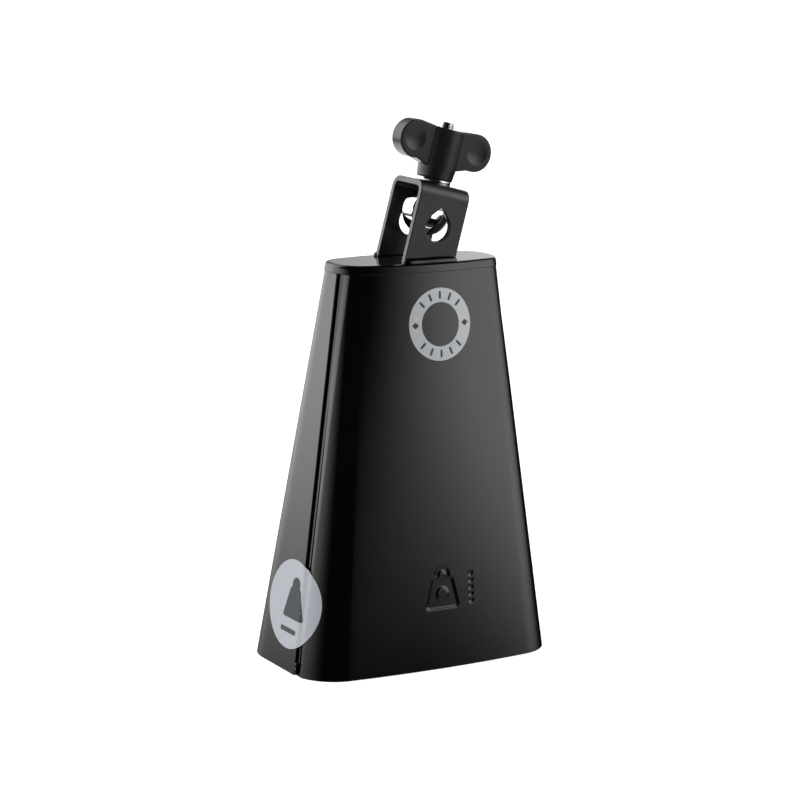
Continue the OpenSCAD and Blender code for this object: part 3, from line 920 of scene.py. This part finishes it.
def skin_plate(outline_sheet, skin, at, lift, thick):
    """A flat sheet drawn in X and Y laid on a surface and given its thickness."""
    bm = outline_sheet
    for v in bm.verts:
        v.co = skin(at[0] + v.co.x, at[1] + v.co.y, lift)
    bmesh.ops.recalc_face_normals(bm, faces=bm.faces)
    middle = bm.faces[:][0]
    if middle.normal.y > 0.3 or middle.normal.x > 0.3:
        bmesh.ops.reverse_faces(bm, faces=bm.faces)
    return with_modifiers(bm, ("SOLIDIFY", {"thickness": thick, "offset": -1.0}))


def flat_ring(outer, inner, steps=144, rings=4):
    bm = laid_grid(
        spaced(0, 2 * pi, 2 * pi / steps), spaced(inner, outer, (outer - inner) / rings),
        lambda a, r: Vector((r * cos(a), r * sin(a), 0)),
    )
    bmesh.ops.remove_doubles(bm, verts=bm.verts, dist=1e-7)
    return bm


def flat_sheet(points, cell=1.2 * MM):
    """A filled outline, cut up finely enough to lie on a curved wall."""
    bm = bmesh.new()
    bm.faces.new([bm.verts.new((x, y, 0)) for x, y in points])
    for axis in (0, 1):
        values = [v.co[axis] for v in bm.verts]
        for cut in spaced(min(values), max(values), cell)[1:-1]:
            normal = (1, 0, 0) if axis == 0 else (0, 1, 0)
            bmesh.ops.bisect_plane(
                bm, geom=bm.verts[:] + bm.edges[:] + bm.faces[:], dist=1e-8,
                plane_co=[cut * n for n in normal], plane_no=normal,
            )
    return bm


def turned_points(points, angle, centre=(0, 0)):
    c, s = cos(angle), sin(angle)
    return [(centre[0] + x * c - y * s, centre[1] + x * s + y * c) for x, y in points]


def make_front_ring():
    """Silver ring foil with plain ticks printed round it."""
    ring = skin_plate(flat_ring(RING_R, RING_HOLE_R), panel_skin, RING_AT, FOIL, FOIL - 0.02 * MM)
    finish_piece(ring, "front_ring_foil", RING_FOIL, "bell", ["front_ring"])
    middle = (RING_R + RING_HOLE_R) / 2
    ticks = []
    for centre in (90, 270):
        for step in (-46, -23, 0, 23, 46):
            angle = radians(centre + step)
            tick = rounded_box(-1.9 * MM, 1.9 * MM, -0.62 * MM, 0.62 * MM, 0.3 * MM, 3)
            ticks.append(turned_points(tick, angle, (middle * cos(angle), middle * sin(angle))))
    for side in (-1, 1):
        diamond = [(2.0 * MM, 0), (0, 1.7 * MM), (-2.0 * MM, 0), (0, -1.7 * MM)]
        ticks.append([(x + side * middle, y) for x, y in diamond])
    sheets = [flat_sheet(points, 2 * MM) for points in ticks]
    ink = skin_plate(gathered(sheets), panel_skin, RING_AT, FOIL + 0.03 * MM, 0.02 * MM)
    finish_piece(ink, "front_ring_ticks", INK, "bell", ())


def bell_sign(scale):
    """Outline of a plain bell with a handle, centred on the origin."""
    foot, top, low, high = 9.4, 5.4, -10.5, 5.0
    points = (
        arc(-foot + 1.4, low + 1.4, 1.4, 195, 270, 5) + arc(foot - 1.4, low + 1.4, 1.4, -90, -15, 5)
        + arc(top - 1.6, high - 1.6, 1.6, 15, 90, 5) + [(3.9, high)]
        + arc(0, high + 1.6, 3.9, 0, 180, 18)[1:-1] + [(-3.9, high)]
        + arc(-top + 1.6, high - 1.6, 1.6, 90, 165, 5)
    )
    return [(x * scale, y * scale) for x, y in points]


def make_side_sticker():
    """Round silver sticker wrapped over the seam, with a plain bell sign and a bar."""
    disc = laid_grid(
        spaced(0, 2 * pi, pi / 90), spaced(0, BADGE_R, BADGE_R / 44),
        lambda a, r: Vector((r * cos(a), r * sin(a), 0)),
    )
    bmesh.ops.remove_doubles(disc, verts=disc.verts, dist=1e-7)
    sticker = skin_plate(disc, left_skin, BADGE_AT, FOIL, FOIL - 0.02 * MM)
    finish_piece(sticker, "side_sticker_disc", STICKER_VINYL, "bell", ["side_sticker"])
    sign = [(-x, y) for x, y in turned_points(bell_sign(1.0 * MM), 0, (2.5 * MM, 3.5 * MM))][::-1]
    bar = [(-x, y) for x, y in rounded_box(-7.5 * MM, 7.5 * MM, -14.5 * MM, -12.0 * MM, 1.0 * MM, 4)][::-1]
    ink = skin_plate(
        gathered([flat_sheet(sign, 0.5 * MM), flat_sheet(bar, 0.5 * MM)]), left_skin, BADGE_AT,
        FOIL + 0.05 * MM, 0.04 * MM
    )
    finish_piece(ink, "side_sticker_sign", INK, "bell", ())


# ---------------------------------------------------------------- camera, floor and light
def make_camera():
    """Standing view from the front left, slightly above the crown."""
    yaw, raise_angle, roll, distance = radians(31.253), radians(11.681), radians(1.557), 1.3169
    target = Vector((-3.3 * MM, 2.0 * MM, 130.3 * MM))
    back = Vector((-sin(yaw) * cos(raise_angle), -cos(yaw) * cos(raise_angle), sin(raise_angle)))
    across = Vector((cos(yaw), -sin(yaw), 0))
    up = back.cross(across)
    right = across * cos(roll) + up * sin(roll)
    top = up * cos(roll) - across * sin(roll)
    camera = bpy.data.objects.new("camera", bpy.data.cameras.new("camera"))
    bpy.context.scene.collection.objects.link(camera)
    camera.data.lens = 116.94
    camera.data.sensor_width = 36
    turn = Matrix((right, top, back)).transposed().to_4x4()
    camera.matrix_world = Matrix.Translation(target + back * distance) @ turn
    bpy.context.scene.camera = camera


def make_floor():
    bm = bmesh.new()
    bmesh.ops.create_grid(bm, x_segments=8, y_segments=8, size=6.0)
    mesh = bpy.data.meshes.new("floor")
    bm.to_mesh(mesh)
    bm.free()
    floor = bpy.data.objects.new("floor", mesh)
    bpy.context.scene.collection.objects.link(floor)
    f = Finish("pale_floor", Roughness=0.9, Specular_IOR_Level=0.0)
    f.shader.inputs["Base Color"].default_value = (0.93, 0.93, 0.93, 1)
    mesh.materials.append(f.material)
    floor.visible_glossy = False


class Sky:
    """A world whose light depends on direction alone, put together from soft-edged panels."""

    def __init__(self):
        world = bpy.data.worlds.new("studio")
        bpy.context.scene.world = world
        world.use_nodes = True
        self.nodes, self.links = world.node_tree.nodes, world.node_tree.links
        self.nodes.clear()
        way = self.nodes.new("ShaderNodeSeparateXYZ")
        self.links.new(self.nodes.new("ShaderNodeTexCoord").outputs["Generated"], way.inputs[0])
        self.azimuth = self.math("ARCTAN2", way.outputs["X"], self.math("MULTIPLY", way.outputs["Y"], -1.0))
        self.elevation = self.math("ARCSINE", way.outputs["Z"], 0.0)
        self.total = None

    def math(self, operation, first, second):
        return math_in(SimpleNamespace(nodes=self.nodes, links=self.links), operation, first, second)

    def edge(self, value, low, high):
        node = self.nodes.new("ShaderNodeMapRange")
        node.interpolation_type = "SMOOTHSTEP"
        node.inputs["From Min"].default_value = low
        node.inputs["From Max"].default_value = high
        self.links.new(value, node.inputs["Value"])
        return node.outputs["Result"]

    def panel(self, azimuth, left, right, bottom, top, strength, tilt=0.0):
        """A panel; left and right are (dark, full) turns from its azimuth, bottom and top elevations."""
        turn = self.math("SUBTRACT", self.azimuth, radians(azimuth))
        away = self.math("ARCTAN2", self.math("SINE", turn, 0.0), self.math("COSINE", turn, 0.0))
        level = self.math("SUBTRACT", self.elevation, self.math("MULTIPLY", away, tilt))
        mask = self.edge(away, radians(left[0]), radians(left[1]))
        for value, (dark, full) in ((away, right), (level, bottom), (self.elevation, top)):
            mask = self.math("MULTIPLY", mask, self.edge(value, radians(dark), radians(full)))
        light = self.math("MULTIPLY", mask, strength)
        self.total = light if self.total is None else self.math("ADD", self.total, light)

    def finish(self, base):
        """White behind the object for the camera, the panels for everything else."""
        out = self.nodes.new("ShaderNodeOutputWorld")
        mixer = self.nodes.new("ShaderNodeMixShader")
        path = self.nodes.new("ShaderNodeLightPath")
        studio, backdrop = self.nodes.new("ShaderNodeBackground"), self.nodes.new("ShaderNodeBackground")
        studio.inputs["Color"].default_value = (1.0, 0.99, 0.98, 1)
        self.links.new(self.math("ADD", self.total, base), studio.inputs["Strength"])
        backdrop.inputs["Color"].default_value = (1, 1, 1, 1)
        self.links.new(path.outputs["Is Camera Ray"], mixer.inputs["Fac"])
        self.links.new(studio.outputs[0], mixer.inputs[1])
        self.links.new(backdrop.outputs[0], mixer.inputs[2])
        self.links.new(mixer.outputs[0], out.inputs["Surface"])


def make_studio():
    """Soft panels behind and to the front right, with a low one under each; overhead stays dark."""
    sky = Sky()
    sky.panel(211, (-60, -2), (101, 24), (-13.5, -2), (17, 8), 2.9, 0.10)
    sky.panel(211, (-60, -2), (50, 20), (8, 17), (75, 45), 2.9)
    sky.panel(45, (-36, 1), (66, 10), (-9.5, -0.5), (50, 26), 2.25, -0.08)
    sky.panel(140, (-24, -10), (18, 2), (2.5, 8), (50, 30), 1.45)
    sky.panel(192, (-50, -28), (45, 22), (-62, -44), (-14, -20), 2.6)
    sky.panel(33, (-40, -20), (40, 20), (-60, -34), (-10, -15), 0.7)
    sky.finish(0.01)


def make_floor_wash():
    """An even light without shadows that falls on the floor alone."""
    light = bpy.data.lights.new("floor_wash", "SUN")
    light.energy = 3.2
    light.use_shadow = False
    light.angle = radians(60)
    lamp = bpy.data.objects.new("floor_wash", light)
    bpy.context.scene.collection.objects.link(lamp)
    only_floor = bpy.data.collections.new("washed")
    only_floor.objects.link(bpy.data.objects["floor"])
    lamp.light_linking.receiver_collection = only_floor


make_camera()
make_studio()
make_floor()
make_floor_wash()
bpy.context.scene.view_settings.view_transform = "Standard"

make_shells()
make_top_cap()
make_welds()
make_tacks()
make_bracket()
make_washer()
make_eye_bolt()
make_wing_nut()
finish_sleeve()
make_front_ring()
make_side_sticker()
